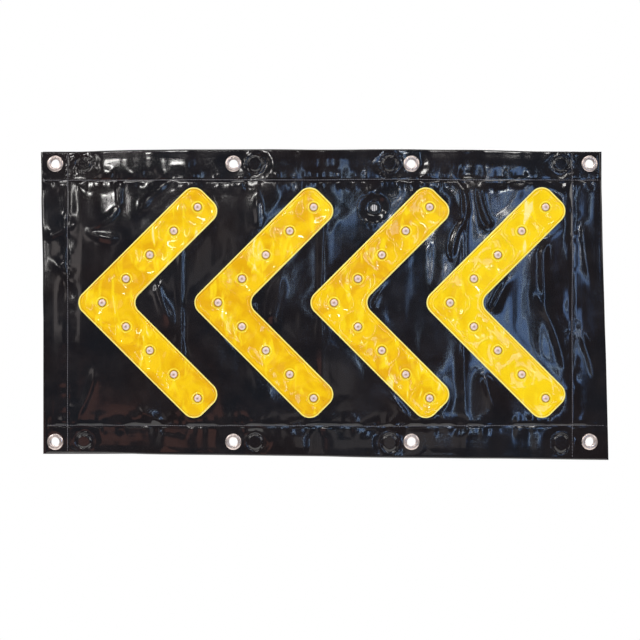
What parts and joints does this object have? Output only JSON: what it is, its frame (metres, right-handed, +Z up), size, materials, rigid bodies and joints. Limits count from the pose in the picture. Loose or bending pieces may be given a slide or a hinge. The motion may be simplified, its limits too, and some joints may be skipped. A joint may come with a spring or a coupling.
{
  "type": "folding led arrow banner",
  "caption": "Folding hemmed banner with glossy yellow chevrons and round lights along each arm, eyelets and magnets in its hem, and a battery unit on its back.",
  "frame": {"origin": "centre of the four corner eyelets, on the rear face of the hem", "axes": "+X right and +Z up as seen by someone facing the lights, +Y out of the back; the lights face -Y"},
  "size_m": [0.8, 0.0318, 0.435],
  "materials": {
    "black_sheet": "glossy calendered PVC with a fine rib",
    "yellow_reflector": "glossy film over golden yellow sheet",
    "clear_lens": "clear moulded epoxy with a pale core",
    "green_board": "lacquered circuit board",
    "grey_ribbon": "satin flat ribbon insulation",
    "nickel_eyelet": "bright nickel plate",
    "nickel_magnet": "plated disc magnet",
    "black_case": "fine spark-eroded moulding",
    "black_rubber": "dull rubber",
    "red_button": "satin silicone",
    "cell_jacket": "shrink-wrapped metal can",
    "spring_contact": "tinned spring strip",
    "steel_screw": "zinc-plated steel",
    "aluminium_plate": "mill finish",
    "sensor_window": "clear window over a silvered cell",
    "black_bezel": "satin moulding"
  },
  "bodies": {
    "panel_4": {"front_sheet_4": "black_sheet", "back_sheet_4": "black_sheet", "reflectors_4": "yellow_reflector", "light_lenses_4": "clear_lens", "light_boards_4": "green_board", "ribbon_wiring_4": "grey_ribbon", "eyelets_4": "nickel_eyelet", "eyelet_washers_4": "nickel_eyelet", "magnets_4": "nickel_magnet", "backing_plate": "aluminium_plate", "battery_case": "black_case", "case_seal": "black_rubber", "door_pin": "steel_screw", "battery_cells": "cell_jacket", "battery_contacts": "spring_contact", "control_board": "green_board", "control_cover": "black_case", "lead_grommet": "black_rubber", "unit_screws": "steel_screw"},
    "panel_3": {"front_sheet_3": "black_sheet", "back_sheet_3": "black_sheet", "reflectors_3": "yellow_reflector", "light_lenses_3": "clear_lens", "light_boards_3": "green_board", "ribbon_wiring_3": "grey_ribbon", "eyelets_3": "nickel_eyelet", "eyelet_washers_3": "nickel_eyelet", "magnets_3": "nickel_magnet", "sensor_cell": "sensor_window", "sensor_bezel": "black_bezel", "sensor_board": "green_board"},
    "panel_2": {"front_sheet_2": "black_sheet", "back_sheet_2": "black_sheet", "reflectors_2": "yellow_reflector", "light_lenses_2": "clear_lens", "light_boards_2": "green_board", "ribbon_wiring_2": "grey_ribbon", "eyelets_2": "nickel_eyelet", "eyelet_washers_2": "nickel_eyelet", "magnets_2": "nickel_magnet"},
    "panel_1": {"front_sheet_1": "black_sheet", "back_sheet_1": "black_sheet", "reflectors_1": "yellow_reflector", "light_lenses_1": "clear_lens", "light_boards_1": "green_board", "ribbon_wiring_1": "grey_ribbon", "eyelets_1": "nickel_eyelet", "eyelet_washers_1": "nickel_eyelet", "magnets_1": "nickel_magnet"},
    "fold_1": {"fold_sheets_1": "black_sheet", "fold_reflectors_1": "yellow_reflector", "fold_ribbon_1": "grey_ribbon"},
    "fold_2": {"fold_sheets_2": "black_sheet", "fold_reflectors_2": "yellow_reflector", "fold_ribbon_2": "grey_ribbon"},
    "fold_3": {"fold_sheets_3": "black_sheet", "fold_reflectors_3": "yellow_reflector", "fold_ribbon_3": "grey_ribbon"},
    "battery_door": {"battery_door": "black_case"},
    "power_button": {"power_button": "red_button"}
  },
  "joints": [
    {"name": "fold_3_right", "type": "hinge", "parent": "panel_4", "child": "fold_3", "pos_m": [0.20906, -0.0058, 0], "axis": [0, 0, 1], "range_deg": [0, 90], "stiffness_Nm_per_rad": 0.8},
    {"name": "fold_3_left", "type": "hinge", "parent": "fold_3", "child": "panel_3", "pos_m": [0.19706, -0.0058, 0], "axis": [0, 0, 1], "range_deg": [0, 90], "stiffness_Nm_per_rad": 0.8},
    {"name": "fold_2_right", "type": "hinge", "parent": "panel_3", "child": "fold_2", "pos_m": [0.00806, 0, 0], "axis": [0, 0, -1], "range_deg": [0, 87.5], "stiffness_Nm_per_rad": 0.8},
    {"name": "fold_2_left", "type": "hinge", "parent": "fold_2", "child": "panel_2", "pos_m": [-0.00394, 0, 0], "axis": [0, 0, -1], "range_deg": [0, 87.5], "stiffness_Nm_per_rad": 0.8},
    {"name": "fold_1_right", "type": "hinge", "parent": "panel_2", "child": "fold_1", "pos_m": [-0.19294, -0.0058, 0], "axis": [0, 0, 1], "range_deg": [0, 90], "stiffness_Nm_per_rad": 0.8},
    {"name": "fold_1_left", "type": "hinge", "parent": "fold_1", "child": "panel_1", "pos_m": [-0.20494, -0.0058, 0], "axis": [0, 0, 1], "range_deg": [0, 90], "stiffness_Nm_per_rad": 0.8},
    {"name": "battery_door_hinge", "type": "hinge", "parent": "panel_4", "child": "battery_door", "pos_m": [0.33545, 0.019, 0], "axis": [0, 0, -1], "range_deg": [0, 110]},
    {"name": "power_button_press", "type": "slide", "parent": "panel_4", "child": "power_button", "axis": [0, -1, 0], "range_m": [0, 0.0012], "stiffness_N_per_m": 500, "springref_m": -0.0004}
  ]
}
